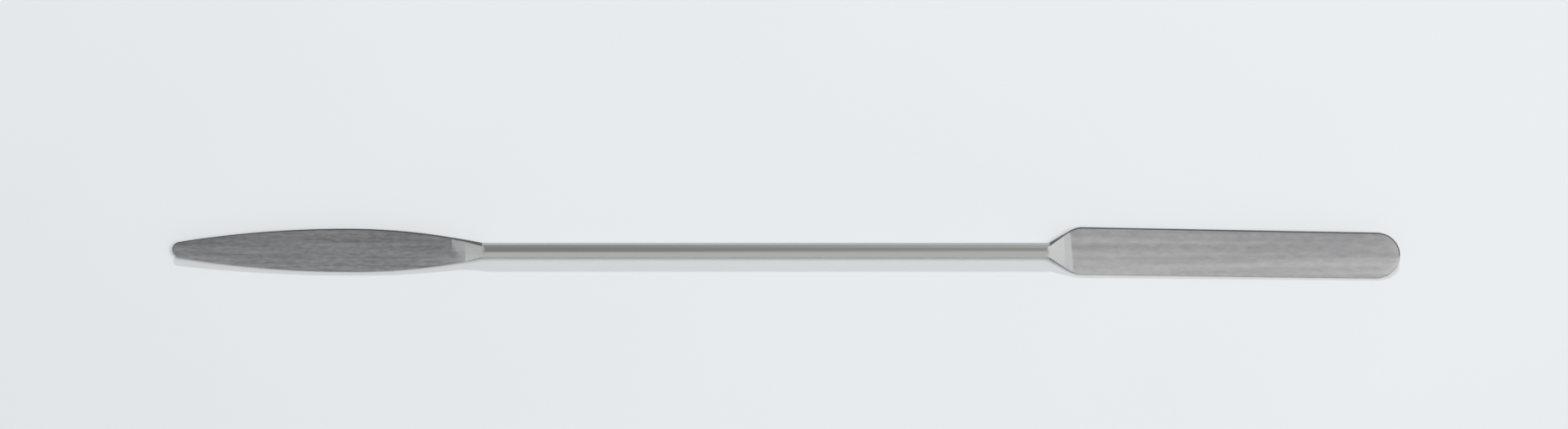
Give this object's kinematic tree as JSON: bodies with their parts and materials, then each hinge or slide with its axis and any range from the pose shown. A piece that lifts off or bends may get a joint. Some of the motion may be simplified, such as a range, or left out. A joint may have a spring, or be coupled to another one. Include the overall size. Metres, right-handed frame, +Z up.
{
  "type": "lab spatula",
  "caption": "Double-ended micro spatula forged from one steel rod, with a leaf-shaped lancet at one end and a parallel flat blade with a round end at the other.",
  "frame": {"origin": "on the table, straight below the rod's axis, at the middle of the overall length", "axes": "+X along the rod from the lancet to the flat blade, +Y to the rear, away from the edge that the tool rests on, +Z up"},
  "size_m": [0.165, 0.0069, 0.0022],
  "materials": {
    "polished_stainless_steel": "satin, with fine grain along the length"
  },
  "bodies": {
    "root": {"spatula": "polished_stainless_steel"}
  },
  "joints": []
}
